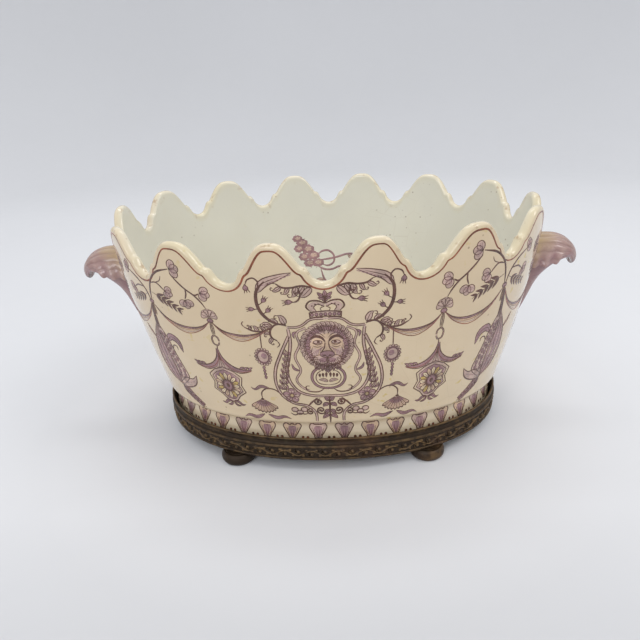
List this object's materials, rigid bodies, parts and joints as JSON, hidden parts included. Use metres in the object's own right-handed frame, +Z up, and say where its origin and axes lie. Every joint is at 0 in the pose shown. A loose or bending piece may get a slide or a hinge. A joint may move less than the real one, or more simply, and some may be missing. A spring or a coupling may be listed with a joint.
{
  "type": "jardiniere",
  "caption": "Oval glazed porcelain jardiniere with a scalloped rim and leaf handles, clamped on a bronze ring base with bun feet",
  "frame": {"origin": "centre of the oval plan, on the surface that the feet stand on", "axes": "+X along the length towards the right handle, +Y towards the back, +Z up"},
  "size_m": [0.441, 0.287, 0.2022],
  "materials": {
    "porcelain": "glossy warm cream glaze with painted ornament",
    "patinated_bronze": "dark brown patina, worn bright on edges",
    "brass_fixings": "dull brass",
    "soft_seal": "matt"
  },
  "bodies": {
    "root": {"bowl": "porcelain", "left_handle": "porcelain", "right_handle": "porcelain", "base_ring": "patinated_bronze", "foot_front_left": "patinated_bronze", "foot_front_right": "patinated_bronze", "foot_back_left": "patinated_bronze", "foot_back_right": "patinated_bronze", "cross_bar": "brass_fixings", "bar_screws": "brass_fixings", "clamp_rod": "brass_fixings", "dome_nut": "brass_fixings", "inner_washer": "brass_fixings", "under_washer": "brass_fixings", "under_nut": "brass_fixings", "seat_gasket": "soft_seal", "inner_seal": "soft_seal"}
  },
  "joints": []
}
